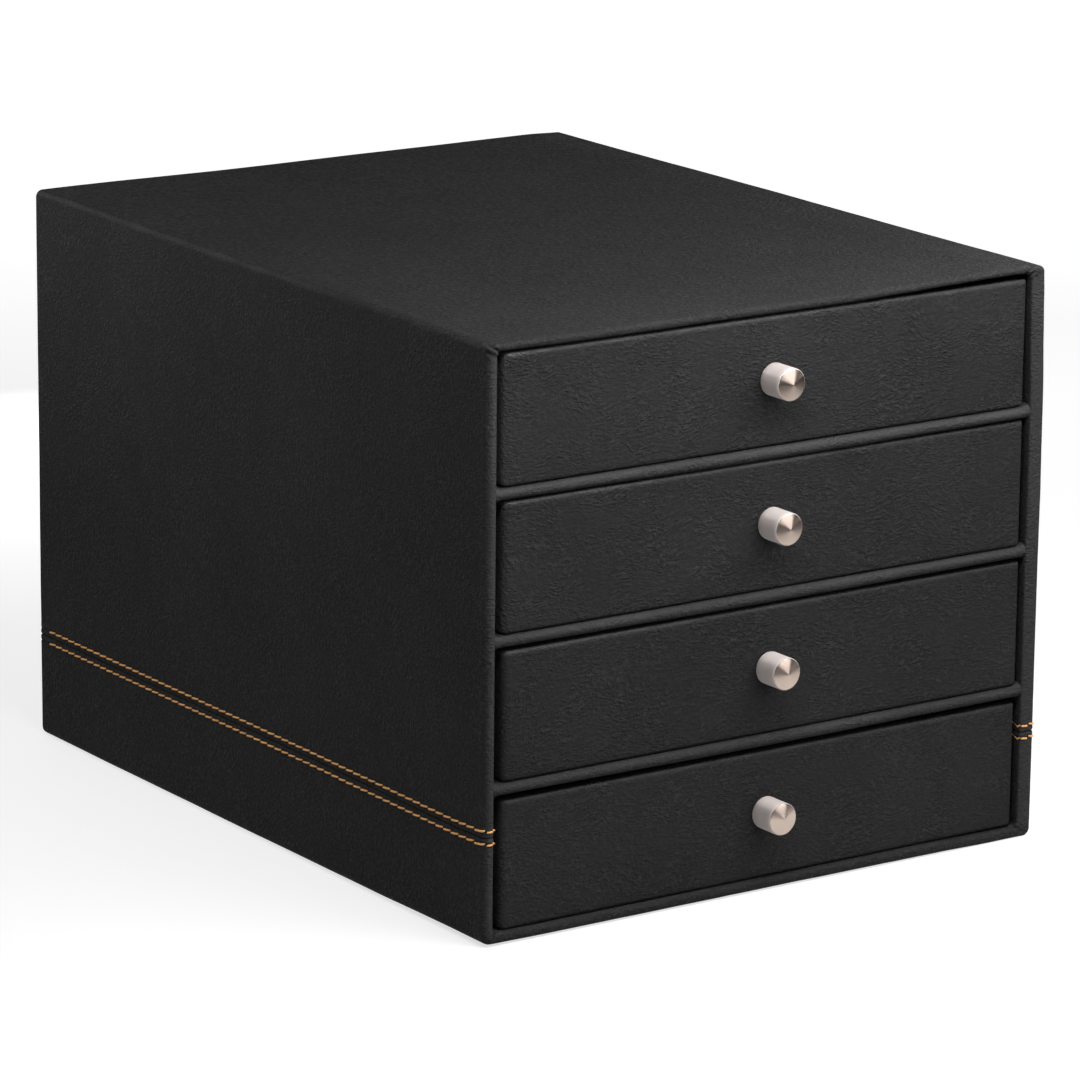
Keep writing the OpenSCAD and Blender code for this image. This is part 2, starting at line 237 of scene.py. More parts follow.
# Rise of the rim's top by x, and of its bottom; bow of the right wall by z
RIM_LIFT = ((-96, 0.05), (-88, 0.0), (-74, -0.15), (-60, -0.2), (-42, -0.2), (-24, -0.05), (26, -0.1),
            (48, 0.36), (62, 0.75), (77, 0.9), (88, 0.85), (97, 0.3))
BASE_DROOP = ((-100, 0.35), (-94, 0.2), (-80, 0.0), (60, 0.0), (86, -0.38), (100, -0.38))
RIGHT_BOW = ((0, 0.25), (50, 0.25), (79, 0.14), (108, 0.36), (138, 0.18), (155, -0.32), (167, -0.57),
             (175, -0.8))
# Rises of the top's corners, the drop of the base's left edge, and the rise of the right seam
BACK_LEFT_RISE, BACK_RIGHT_DROP, FRONT_RIGHT_RISE = 0.55, 0.45, 0.4
LEFT_BASE_DROP = 0.35
RIGHT_SEAM_RISE = 0.55
# How far the seam wanders up or down on its way back from the rim
SEAM_SWAY = ((0, 0.05), (6, 0.05), (16, -0.2), (28, -0.12), (45, 0.05), (65, 0.2), (95, 0.42), (130, 0.52))
# Length of a stitch on the side and round the rim; how far before the back edge the last one ends
STITCH, FRONT_STITCH = 4.0, 3.4
BACK_SEAM_END = 2.2
# Along the wall from just behind the rim: the last hole on the rim and the first on the side
RIM_HOLES = {LEFT: (-1.4, 3.75), RIGHT: (-3.5, 2.9)}


def settle(point):
    """Where a point of a straight case lies in this one, whose walls bow a little."""
    x, y, z = point
    depth = y - FRONT
    front = 1 - smooth(depth, 30, 160)
    high = smooth(z, TOP - 14, TOP - 3)
    low = 1 - smooth(z, 1.0, 9.0)
    dx = between(z, RIGHT_BOW) * smooth(x, 60, 94) * front
    # The top: its rim, its back corners, its right front corner
    under = 0.35 + 0.65 * min(1.0, max(0.0, TOP - z) / TOP_WALL)
    dz = high * under * between(x, RIM_LIFT) * (1 - smooth(depth, 4, 60))
    corners = BACK_LEFT_RISE * smooth(-x, 10, 90) - BACK_RIGHT_DROP * smooth(x, 85, 99)
    dz += high * smooth(y, 0, 125) * corners
    dz += high * FRONT_RIGHT_RISE * smooth(x, 60, 92) * front
    # The base: its rim, and its left edge behind the rim
    dz += low * between(x, BASE_DROOP) * front
    dz -= low * LEFT_BASE_DROP * smooth(-x, 80, 96) * smooth(depth, 20, 60)
    # The seam, on both sides
    sway = between(depth, SEAM_SWAY) + (RIGHT_SEAM_RISE * front if x > 0 else 0.0)
    dz += sway * smooth(abs(x), 92, 96) * (1 - smooth(abs(z - SEAM_Z), 6, 11))
    return Vector((x + dx, y, max(z + dz, 0.02)))


def flared_walls(share):
    """Thickness of the case's walls, with a share of the right wall's flare."""
    flare = RIGHT_FLARE * share
    return [w + (flare if side == RIGHT else 0.0) for side, w in enumerate(WALLS)]


def case_levels():
    """Rings of the cover, as (insets, ys), from its turned-in end round the rim to the back."""
    levels = []
    for extra in INNER_RINGS:
        share = 0.0 if extra is None else 1 - smooth(extra, 0, 7)
        levels.append((flared_walls(share),
                       [FRONT + (TURN_IN if extra is None else b + extra) for b in INNER_BEAD]))
    for step in range(BEAD_STEPS + 1):
        turn = math.pi * (1 - step / BEAD_STEPS)
        part = (1 - math.cos(turn)) / 2
        inside = turn > math.pi / 2
        beads, powers = (INNER_BEAD, INNER_POWER) if inside else (BEAD, OUTER_POWER)
        level = [FRONT + b * (1 - max(0.0, math.sin(turn)) ** q) for b, q in zip(beads, powers)]
        levels.append(([w * part for w in flared_walls(1.0)], level))
    wall = graded(FRONT + WALL_START, BACK - BACK_EDGE_R - 0.4, 0.6, STITCH / 3, 1.15)
    levels += [([0.0] * 4, [y] * 4) for y in wall]
    for step in range(6):
        turn = math.pi / 2 * step / 5
        levels.append(([BACK_EDGE_R * (1 - math.cos(turn))] * 4,
                       [BACK - BACK_EDGE_R * (1 - math.sin(turn))] * 4))
    return levels + [([inset] * 4, [BACK] * 4) for inset in (2.2, 4.0, 7.0, BACK_FLANGE)]


# Distances from the seam that the cover's grid needs
SEAM_GRID = (0.0, 0.08, 0.2, 0.4, 0.7, 1.05, 1.4, 1.65, 1.8, ROW_GAP, 2.1, 2.25, 2.5, 2.9, 3.5, 4.5, 6.0)


def seam_places(direction):
    """Heights of that grid above or below the seam, going away from it."""
    return [SEAM_Z + direction * away for away in SEAM_GRID]


def side_path(side):
    """Distance along a side wall's profile for every level, 0 just behind the rim."""
    points = [(inset[side], level[side]) for inset, level in case_levels()]
    path = [0.0]
    for (d0, y0), (d1, y1) in zip(points, points[1:]):
        path.append(path[-1] + math.hypot(d1 - d0, y1 - y0))
    rim_end = len(INNER_RINGS) + BEAD_STEPS
    return [p - path[rim_end] + BEAD[side] - BEAD[RIGHT] for p in path]


def needle_holes(side):
    """Where the thread goes through, along the same path: inside, over the rim, down the side."""
    last = BACK - BACK_EDGE_R - BACK_SEAM_END - FRONT - BEAD[RIGHT]
    rim, first = RIM_HOLES[side]
    inner = rim - FRONT_STITCH
    return ([inner - STITCH * 2, inner - STITCH, inner, rim]
            + [first + STITCH * k for k in range(int((last - first) / STITCH) + 1)])


def seam_relief(along, away, holes):
    """Rise of the cover near its seam: folded edges, a channel per row, needle holes."""
    nearest = min(abs(along - h) for h in holes)
    rise = -0.34 * bell(away, 0, 0.2) + 0.09 * bell(away, 0.95, 0.5) + 0.04 * bell(away, 2.9, 0.5)
    rise -= (0.10 + 0.16 * bell(nearest, 0, 0.55)) * bell(away, ROW_GAP, 0.33)
    rise -= 0.03 * bell(nearest, 0, 0.9) * bell(away, ROW_GAP, 1.2)
    return rise


# Folds at the mitres, as lines on the front plane: x and z of both ends, half width, rise
MITRE_FOLDS = (
    (-102.4, 177.4, -96.6, 173.9, 0.50, 0.40), (-101.2, 175.2, -97.1, 172.9, 0.36, -0.34),
    (-100.8, 174.3, -97.4, 172.4, 0.40, 0.28), (-100.0, 176.9, -96.6, 174.6, 0.34, -0.34),
    (-98.5, 176.9, -97.0, 175.3, 0.30, -0.28), (-97.6, 176.4, -96.2, 175.4, 0.45, 0.2),
    (90.6, 177.2, 93.9, 176.9, 0.45, 0.18), (93.9, 176.9, 93.5, 175.2, 0.42, 0.28),
    (95.0, 177.3, 92.1, 174.7, 0.34, -0.34), (95.9, 176.8, 92.9, 174.1, 0.40, 0.32),
    (95.4, 175.6, 93.3, 174.1, 0.22, -0.26), (96.6, 174.9, 93.4, 173.5, 0.38, 0.24),
    (96.8, 174.1, 93.6, 172.8, 0.28, -0.22),
    (91.0, 4.6, 95.0, 4.3, 0.60, 0.30), (94.6, 4.0, 95.8, 2.6, 0.3, -0.12),
    (-96.5, 4.6, -96.7, 2.0, 0.26, -0.2))
# How far a fold moves sideways and up for each millimetre that it runs into the opening
FOLD_SLANT = (0.745, 0.287)
# Strength of the rim's painted highlight; painted tone for each millimetre of a crease (painted shade), of a
# crest (painted highlight), and of the seam (painted shade in its channels, painted highlight on its folded
# edges)
RIM_HIGHLIGHT = 0.85
CREASE_SHADE, CREST_HIGHLIGHT, SEAM_SHADE_AND_HIGHLIGHT = 2.6, 1.3, 2.2


def mitre_relief(point):
    """Rise of the small folds where the cover is tucked in at the corners of the rim."""
    depth = point.y - FRONT
    if depth > 7 or abs(point.x) < 86:
        return 0.0
    x, z = point.x - FOLD_SLANT[0] * depth, point.z + FOLD_SLANT[1] * depth
    rise = 0.0
    for x0, z0, x1, z1, width, height in MITRE_FOLDS:
        length = math.hypot(x1 - x0, z1 - z0)
        along = ((x - x0) * (x1 - x0) + (z - z0) * (z1 - z0)) / length
        if -0.5 < along < length + 0.5:
            aside = ((x - x0) * (z1 - z0) - (z - z0) * (x1 - x0)) / length
            taper = smooth(along, -0.4, 0.5) * (1 - smooth(along, length - 0.6, length + 0.4))
            rise += height * bell(aside, 0, width) * taper
    return rise * (1 - smooth(depth, 4.5, 7))


def case_swell(p, depth, inset):
    """Low swells of the case's skin over its boards, finer at the rim, weaker where it turns in."""
    rise = 0.10 * uneven(p, 46, 1) + 0.05 * uneven(p, 17, 2)
    if depth < 8:
        rise += 0.05 * uneven(p, 5, 3) * (1 - smooth(depth, 3, 8))
    return rise * 0.5 if inset[UP] > 0.3 else rise


def case_highlight(p, depth, inset):
    """Painted highlight on the rim and along the top's two long edges, where light catches them."""
    painted_tone = 0.0
    # Painted highlight on the crown of the top's rim
    if depth < 6:
        crown_highlight = bell(inset[UP] / TOP_WALL, 0.25, 0.25) * smooth(p.z, TOP - 3, TOP - 1.5)
        painted_tone += 0.25 * crown_highlight * (1 - smooth(depth, 1.5, 4))
    # Painted highlight across the rim: broad on the left, a narrow band on the right
    if depth < 3.4:
        across = inset[LEFT] / SIDE_WALL
        left = smooth(across, -0.15, 0.45) * (1 - 0.3 * smooth(across, 0.5, 0.9))
        rim = left if p.x < 0 else 0.6 * (1 - smooth(depth, 0.5, 1.5))
        painted_tone += RIM_HIGHLIGHT * rim * smooth(TOP - p.z, 2, 5) * smooth(p.z, 2, 5)
    # Painted highlight along the top's two long edges
    edge = bell(math.hypot(abs(p.x) - CASE_W / 2, p.z - TOP), 0.9, 0.55)
    return painted_tone + edge * (0.35 + 0.75 * smooth(depth, 20, 150)) * (0.8 + 0.6 * uneven(p, 9, 7))


def case_cover(name, stations, corner_r):
    """One piece of the case's cover; returns the object and its grid for the stitches."""
    levels = case_levels()
    rows = []
    for inset, level in levels:
        radius = max(corner_r - min(inset), 0.8)
        row = []
        for station in stations:
            a, b, h = ring_point(station, CASE_RECT, corner_r, inset, radius, level)
            row.append(Vector((a, h, b)))
        rows.append(row)
    normals = normals_of(rows, False)
    tracks = {side: (side_path(side), needle_holes(side)) for side in (LEFT, RIGHT)}
    painted_light = []
    for j, row in enumerate(rows):
        inset = levels[j][0]
        for i, p in enumerate(row):
            depth = p.y - FRONT
            rise = case_swell(p, depth, inset)
            fold = mitre_relief(p)
            # Painted shade in the mitre folds' creases and painted highlight on their crests, added to the
            # rim's and edges' painted highlights
            painted_tone = case_highlight(p, depth, inset) + (CREASE_SHADE if fold < 0 else CREST_HIGHLIGHT) * fold
            if abs(p.x) > 90 and abs(p.z - SEAM_Z) < 6.5:
                path, holes = tracks[LEFT if p.x < 0 else RIGHT]
                seam = seam_relief(path[j], abs(p.z - SEAM_Z), holes)
                rise += seam
                # Painted shade in the seam's channels and needle holes, painted highlight on its folded
                # edges
                painted_tone += SEAM_SHADE_AND_HIGHLIGHT * seam
            row[i] = settle(p + normals[j][i] * (rise + fold))
            painted_light.append(max(-1.0, min(1.0, painted_tone)))
    points = [p for row in rows for p in row]
    piece = add_mesh(name, points, grid_faces(len(rows), len(stations), False), painted_light=painted_light)
    return piece, rows


def upper_stations():
    """Stations of the upper cover, from the seam on the left over the top to the right seam."""
    top_z = TOP - TOP_CORNER
    rising = [z for z in graded(SEAM_Z + 6, top_z, 0.25, 4.0, 1.25) if z > SEAM_Z + 8]
    left = seam_places(1) + rising
    across = graded(-CASE_W / 2 + TOP_CORNER, CASE_W / 2 - TOP_CORNER, 0.25, 3.6, 1.25)
    return ([("side", LEFT, z) for z in left] + corner_stations(0, 6)
            + [("side", UP, x) for x in across] + corner_stations(1, 6)
            + [("side", RIGHT, z) for z in reversed(left)])


def lower_stations():
    """Stations of the lower cover, from the seam on the right under the base to the left seam."""
    low_z = BASE + LOW_CORNER
    falling = [z for z in graded(low_z, SEAM_Z - 6, 0.45, 3.0) if z < SEAM_Z - 6.8]
    right = seam_places(-1) + list(reversed(falling))
    across = graded(-CASE_W / 2 + LOW_CORNER, CASE_W / 2 - LOW_CORNER, 0.4, 4.5)
    return ([("side", RIGHT, z) for z in right] + corner_stations(2, 6)
            + [("side", DOWN, x) for x in reversed(across)] + corner_stations(3, 6)
            + [("side", LEFT, z) for z in reversed(right)])


# ---- Stitches ----

THREAD_R = 0.31
STITCH_TURN = math.radians(9.5)
STITCH_SECTIONS = 16
THREAD_SIDES = 8
# Height of a stitch over the cover and its depth at the needle holes; how far short of them it ends
STITCH_LIFT, STITCH_DIVE = 0.72, 0.52
STITCH_GAP = 0.12


def sample(rows, path, columns, along, away):
    """Point and normal of a cover's grid at a place on the side path, away from the seam."""
    j = max(1, min(len(path) - 1, next((k for k, p in enumerate(path) if p > along), len(path) - 1)))
    t = (along - path[j - 1]) / (path[j] - path[j - 1])
    k = max(1, next((n for n, place in enumerate(SEAM_GRID) if place > away), len(SEAM_GRID) - 1))
    s = (away - SEAM_GRID[k - 1]) / (SEAM_GRID[k] - SEAM_GRID[k - 1])
    a, b = columns[k - 1], columns[k]
    low = rows[j - 1][a].lerp(rows[j - 1][b], s)
    high = rows[j][a].lerp(rows[j][b], s)
    normal = (rows[j][b] - rows[j][a]).cross(rows[j][a] - rows[j - 1][a]).normalized()
    return low.lerp(high, t), normal


def stitch_row(grid, path, columns, side, direction, points, faces, uvs):
    """Adds the stitches of one row, above or below the seam, to the lists of points and faces."""
    holes = needle_holes(LEFT if side < 0 else RIGHT)
    for number, (start, end) in enumerate(zip(holes, holes[1:])):
        length = end - start
        first = len(points)
        middle = (start + end) / 2
        for section in range(STITCH_SECTIONS + 1):
            t = section / STITCH_SECTIONS
            along = start + STITCH_GAP + (length - 2 * STITCH_GAP) * t
            lift = STITCH_LIFT * (1 - abs(2 * t - 1) ** 13) - STITCH_DIVE + 0.05 * math.sin(math.pi * t)
            slant = -(along - middle) * math.tan(STITCH_TURN)
            slant += 0.05 * uneven((number * 3.1, direction, side * 9.0), 1.7, 5)
            away = ROW_GAP + direction * slant
            centre, normal = sample(grid, path, columns, along, away)
            ahead, _ = sample(grid, path, columns, along + 0.2, away)
            forward = (ahead - centre).normalized()
            normal = Vector((side, 0, 0)) if normal.length < 0.5 else normal
            if normal.dot(Vector((side, -0.6, 0))) < 0:
                normal = -normal
            across = forward.cross(normal).normalized()
            radius = THREAD_R * (1 - 0.25 * abs(2 * t - 1) ** 6)
            for k in range(THREAD_SIDES):
                turn = 2 * math.pi * k / THREAD_SIDES
                points.append(centre + normal * (lift + radius * math.cos(turn))
                              + across * radius * math.sin(turn))
                uvs.append((along, k / THREAD_SIDES))
        faces += tube_faces(STITCH_SECTIONS + 1, THREAD_SIDES, first)


# ---- Shelf covers ----

# Sag of a shelf's nose by x, and the painted highlight on each nose, the upper one first
SHELF_SAG = ((-95, 0.0), (-60, 0.15), (-20, 0.42), (25, 0.42), (60, 0.15), (95, 0.0))
SHELF_HIGHLIGHT = (1.3, 1.05, 0.8)
# How far a shelf's cover reaches onto the walls at each end
SHELF_OVERLAP = 0.9


def shelf_profile():
    """The sheet's run over a shelf and back below it, as (y, drop, part of its turn)."""
    radius = WALL / 2
    behind = (-125.4, -124, -121, -115, -100, -60, 0, 60, FRONT + BAY_D)
    nose = [math.pi * step / 12 for step in range(13)]
    return ([(y, 0.0, 0.0) for y in reversed(behind)]
            + [(FRONT + SHELF_RECESS + radius * (1 - math.sin(turn)), radius * (1 - math.cos(turn)),
                step / 12) for step, turn in enumerate(nose)]
            + [(y, WALL, 1.0) for y in behind])


def shelf_cover(number):
    """One sheet over a shelf, round its nose and back below; its ends flare onto the rim."""
    end = CASE_W / 2 - SIDE_WALL + SHELF_OVERLAP
    across = graded(-end, end, 0.3, 2.4, 1.35)
    rows, painted_light = [], []
    for y, drop, part in shelf_profile():
        row = []
        nose = 1 - smooth(y, -126, -110)
        turn = math.pi * part
        for x in across:
            sag = between(x, SHELF_SAG) * part * nose
            p = Vector((x, y, FLOORS[number] - drop - sag))
            flare_r = (1 - smooth(end - x, 1.6, 5.4)) * nose
            flare_l = (1 - smooth(end + x, 0.4, 2.6)) * nose
            p.z += (1.0 * flare_r + 0.5 * flare_l) * (1 - part) - (0.15 * flare_r + 0.5 * flare_l) * part
            p.y += 0.15 * flare_l * math.sin(turn)
            rough = 0.05 * uneven(p, 9, 11 + number) + 0.03 * uneven(p, 3, 12)
            p += Vector((0, -math.sin(turn), math.cos(turn))) * rough * nose
            row.append(settle(p))
            # Painted highlight on the nose, where light catches it
            painted_light.append(SHELF_HIGHLIGHT[number] * bell(part, 0.3, 0.3) * nose)
        rows.append(row)
    points = [p for row in rows for p in row]
    faces = [tuple(reversed(face)) for face in grid_faces(len(rows), len(across), False)]
    return add_mesh(("upper", "middle", "lower")[number] + "_shelf_wrap", points, faces, painted_light=painted_light)


# ---- The boards of the walls, which bow with their cover ----

# Room for the cover round the boards
COVER = 0.4
# name, section (x0, x1, z0, z1), and which edge has the case's rounded corners: 1 top, -1 bottom
WALL_BOARDS = (
    ("top", (-99.6, 99.6, 174.7, 176.5), 1),
    ("bottom", (-99.6, 99.6, 0.8, 3.2), -1),
    ("left", (-99.6, -96.2, 3.2, 174.7), 0),
    ("right", (96.2, 99.6, 3.2, 174.7), 0))
# Depth of the sanded nose of the sides, and of the top and bottom; how far in its edge starts
SIDE_NOSE, FLAT_NOSE, NOSE_INSET = 3.4, 1.6, 0.25


def board_ring(section):
    """Points round a board's section, close together near its ends."""
    x0, x1, z0, z1 = section
    flat = x1 - x0 > z1 - z0
    xs = graded(x0, x1, 0.5, 6.0) if flat else [x0, (x0 + x1) / 2, x1]
    zs = [z0, (z0 + z1) / 2, z1] if flat else graded(z0, z1, 2.0, 8.0)
    return ([(x, z1) for x in xs] + [(x1, z) for z in reversed(zs[:-1])]
            + [(x, z0) for x in reversed(xs[:-1])] + [(x0, z) for z in zs[1:-1]])


def board_levels(half, nose):
    """Sections of a board as (inset, y), from its sanded nose to the back."""
    levels = []
    for step in range(9):
        turn = math.pi / 2 * (0.06 + 0.94 * step / 8)
        inset = NOSE_INSET + (half - NOSE_INSET) * (1 - math.sin(turn))
        levels.append((inset, FRONT + COVER + 0.4 + nose * (1 - math.cos(turn))))
    levels += [(0.0, y) for y in (-118, -105, -90, -70, -45, -20, 10, 40, 70, 100, 120)]
    return levels + [(0.0, BACK - COVER - 0.5), (0.4, BACK - COVER)]


def wall_board(name, section, rounded):
    """A pasteboard wall: its front edge is sanded round under the cover's roll."""
    x0, x1, z0, z1 = section
    mid_x, mid_z, wide, high = (x0 + x1) / 2, (z0 + z1) / 2, x1 - x0, z1 - z0
    ring = board_ring(section)
    levels = board_levels(min(wide, high) / 2, SIDE_NOSE if high > wide else FLAT_NOSE)
    radius = (TOP_CORNER if rounded > 0 else LOW_CORNER) - COVER
    points = []
    for inset, y in levels:
        for x, z in ring:
            px = mid_x + (x - mid_x) * (wide - 2 * inset) / wide
            pz = mid_z + (z - mid_z) * (high - 2 * inset) / high
            over = abs(px) - (CASE_W / 2 - COVER - radius)
            if rounded and over > 0:
                drop = min(radius - math.sqrt(max(0.0, radius * radius - over * over)), 0.9 * high)
                share = (pz - z0) / high if rounded > 0 else (z1 - pz) / high
                pz -= rounded * drop * share
            points.append(settle((px, y, pz)))
    return add_mesh(name + "_pasteboard", points, tube_faces(len(levels), len(ring)), smooth_faces=False)


# ---- Drawer covers ----

# Painted highlight on the rolled top edge of each drawer, where light catches it, the upper drawer first: at
# the left, left of the knob, at the right
EDGE_HIGHLIGHT = tuple(((-90, left), (-30, middle), (90, right)) for left, middle, right in
                  ((3.2, 2.2, 1.0), (2.6, 1.8, 0.9), (2.0, 1.4, 0.8), (1.0, 0.8, 0.7)))
# Painted light on the left flank of each drawer, just behind the front where it shows beside the rim, the
# upper drawer first
FLANK_LIGHT = (0.9, 0.3, 0.0, 0.0)
DRAWER_RECT = (-DRAWER_W / 2, DRAWER_W / 2, 0.0, DRAWER_L)
# Radii of a wall's top edge, outside and inside, and of the bottom edge
TOP_EDGE_R, INNER_EDGE_R, LOW_EDGE_R = 0.85, 1.3, 1.35


def drawer_levels():
    """Rings of a drawer's cover, as (insets, height), from its turn-in to under the bottom."""
    walls = (DRAWER_WALL, DRAWER_WALL, DRAWER_WALL, DRAWER_FRONT_WALL)
    levels = [(walls, DRAWER_H - drop) for drop in (DRAWER_TURN, 9, 6, 4, 2.6)]
    for step in range(11):
        turn = math.pi * (1 - step / 10)
        inside = turn > math.pi / 2
        reach = INNER_EDGE_R if inside else TOP_EDGE_R
        inset = [w - reach * (1 + math.cos(turn)) if inside else reach * (1 - math.cos(turn))
                 for w in walls]
        levels.append((inset, DRAWER_H - reach * (1 - max(0.0, math.sin(turn)) ** 0.9)))
    levels += [([0.0] * 4, h) for h in reversed(graded(2.0, DRAWER_H - 1.1, 0.35, 2.4))]
    for step in range(7):
        turn = math.pi / 2 * step / 6
        levels.append(([LOW_EDGE_R * (1 - math.cos(turn))] * 4, LOW_EDGE_R * (1 - math.sin(turn))))
    return levels + [([inset] * 4, 0.0) for inset in (2.4, 5.0, 12.0)]


def drawer_stations():
    """Stations of a drawer's rings, all the way round."""
    x0, x1, y0, y1 = DRAWER_RECT
    depths = graded(y0 + DRAWER_CORNER, y1 - DRAWER_CORNER, 0.6, 6.0)
    widths = graded(x0 + DRAWER_CORNER, x1 - DRAWER_CORNER, 0.5, 2.6)
    return ([("side", LEFT, b) for b in depths] + corner_stations(0, 5)
            + [("side", UP, a) for a in widths] + corner_stations(1, 5)
            + [("side", RIGHT, b) for b in reversed(depths)] + corner_stations(2, 5)
            + [("side", DOWN, a) for a in reversed(widths)] + corner_stations(3, 5))


def drawer_swell(p, number, inset):
    """Low swells of a drawer's skin, finer on its front and weaker inside."""
    rise = 0.09 * uneven(p, 34, 21 + number) + 0.04 * uneven(p, 11, 31 + number)
    if p.y < 3:
        rise += 0.05 * uneven(p, 4, 41 + number) * (1 - smooth(min(p.z, DRAWER_H - p.z), 2, 6))
    return rise * 0.3 if inset[LEFT] >= DRAWER_WALL - 0.01 else rise


def drawer_painted_light(p, number, inset, height):
    """Painted highlights on a drawer's top edge, the front's side edges and its bottom edge, and painted
    light on its left flank.
    """
    left_x, right_x = DRAWER_RECT[0], DRAWER_RECT[1]
    # Painted highlight where light catches the rolled top edge
    rolled_highlight = bell(height, DRAWER_H - 0.65, 0.65) * (1 - smooth(inset[LEFT], 0.8, 1.5))
    rolled_highlight *= between(p.x, EDGE_HIGHLIGHT[number]) * (1 + 0.4 * uneven(p, 7, 51 + number))
    # Painted highlights on the front's side edges and its bottom edge
    front_edge_highlight = bell(min(p.x - left_x, right_x - p.x), 0.5, 0.9) * (1 - smooth(p.y, 1.5, 5))
    low_edge_highlight = bell(height, 0.4, 0.7)
    # Painted light on the left flank where it shows beside the rim
    flank_light = FLANK_LIGHT[number] * (1 - smooth(p.x - left_x, 0.3, 1.5)) * (1 - smooth(p.y, 5, 9))
    return rolled_highlight + 0.2 * front_edge_highlight + 0.1 * low_edge_highlight + flank_light


def drawer_cover(number):
    """The cover of one drawer: turned in over the walls' tops, down, and under the bottom."""
    levels, stations = drawer_levels(), drawer_stations()
    rows = []
    for inset, height in levels:
        radius = max(DRAWER_CORNER - min(inset), 0.4)
        rows.append([Vector(ring_point(station, DRAWER_RECT, DRAWER_CORNER, inset, radius, [height] * 4))
                     for station in stations])
    normals = normals_of(rows, True)
    place = Vector((DRAWER_SHIFT[number], DRAWER_FRONT, FLOORS[number] + REST_GAP))
    points, painted_light = [], []
    for (inset, height), row, row_normals in zip(levels, rows, normals):
        for p, normal in zip(row, row_normals):
            painted_light.append(drawer_painted_light(p, number, inset, height))
            points.append(p + normal * drawer_swell(p, number, inset) + place)
    count = len(stations)
    faces = grid_faces(len(rows), count, True)
    faces.append(tuple(range((len(rows) - 1) * count, len(rows) * count)))
    return add_mesh("drawer_%d_wrap" % (number + 1), points, faces, painted_light=painted_light)


# ---- Knobs ----

def lathe(name, profile, sides):
    """Turns a profile of (radius, height) round the z axis; both ends are closed."""
    points = []
    for r, h in profile:
        for k in range(sides):
            turn = 2 * math.pi * k / sides
            points.append(Vector((r * math.cos(turn), r * math.sin(turn), h)))
    return add_mesh(name, points, tube_faces(len(profile), sides))


def knob(number):
    """A turned rod with bevelled ends and a coned face, its axis pointing out of the drawer."""
    edge = KNOB_R - KNOB_BEVEL
    profile = [(0.15, 0.0), (2.0, 0.0), (edge - 0.05, 0.0), (edge, 0.02),
               (KNOB_R - 0.04, KNOB_BEVEL - 0.02), (KNOB_R, KNOB_BEVEL + 0.04), (KNOB_R, 2.0),
               (KNOB_R, KNOB_L - 2.0), (KNOB_R, KNOB_L - KNOB_BEVEL - 0.04),
               (KNOB_R - 0.04, KNOB_L - KNOB_BEVEL + 0.02), (edge, KNOB_L - 0.02), (edge - 0.05, KNOB_L),
               (2.4, KNOB_L + 0.46 * FACE_RISE), (0.6, KNOB_L + 0.87 * FACE_RISE),
               (0.15, KNOB_L + 0.95 * FACE_RISE)]
    piece = lathe("drawer_%d_turned_knob" % (number + 1), profile, KNOB_SIDES)
    z = FLOORS[number] + REST_GAP + KNOB_H
    piece.matrix_world = (Matrix.Translation(Vector((DRAWER_SHIFT[number], DRAWER_FRONT, z)) * MM)
                          @ Matrix.Rotation(math.pi / 2, 4, "X"))
    return piece


# ---- Materials ----

def new_material(name):
    """A new material, its node tree and its shader."""
    material = bpy.data.materials.new(name)
    material.use_nodes = True
    tree = material.node_tree
    shader = tree.nodes["Principled BSDF"]
    return material, tree, shader


def add_node(tree, kind, values=(), vector=None, **settings):
    """Adds a node, sets its attributes by name and its inputs from (socket, value) pairs."""
    node = tree.nodes.new(kind)
    for key, value in settings.items():
        setattr(node, key, value)
    for socket, value in values:
        node.inputs[socket].default_value = value
    if vector:
        tree.links.new(vector, node.inputs["Vector"])
    return node


def noise_value(tree, vector, scale, detail, roughness=0.5, distortion=0.0):
    """The value of a noise texture at a place."""
    values = (("Scale", scale), ("Detail", detail), ("Roughness", roughness), ("Distortion", distortion))
    return add_node(tree, "ShaderNodeTexNoise", values, vector).outputs["Fac"]


def set_bump(tree, shader, height, strength, distance):
    """Bumps a shader's surface by a height; the distance is in metres."""
    bump = add_node(tree, "ShaderNodeBump", (("Strength", strength), ("Distance", distance)))
    tree.links.new(height, bump.inputs["Height"])
    tree.links.new(bump.outputs[0], shader.inputs["Normal"])


def ramp(tree, source, stops):
    """A colour ramp over a source; a stop is (place, grey) or (place, colour)."""
    node = tree.nodes.new("ShaderNodeValToRGB")
    tree.links.new(source, node.inputs[0])
    elements = node.color_ramp.elements
    while len(elements) < len(stops):
        elements.new(0.5)
    for element, (place, colour) in zip(elements, stops):
        element.position = place
        element.color = (*colour, 1) if isinstance(colour, tuple) else (colour, colour, colour, 1)
    return node.outputs[0]


def maths(tree, operation, a, b=None, c=None):
    """A maths node's output; a, b and c are numbers or sockets."""
    node = add_node(tree, "ShaderNodeMath", operation=operation)
    for socket, value in zip(node.inputs, (a, b, c)):
        if isinstance(value, (int, float)):
            socket.default_value = value
        elif value is not None:
            tree.links.new(value, socket)
    return node.outputs[0]


def object_place(tree):
    """The point's place on its own object, in metres."""
    return add_node(tree, "ShaderNodeTexCoord").outputs["Object"]


LEATHER_SPECULAR, PAPER_SPECULAR = 0.03, 0.3
# The pebbles' share in the grain, and the grain's average
PEBBLE_SHARE = 0.45
GRAIN_MIDDLE = 0.5 + 0.5 * PEBBLE_SHARE


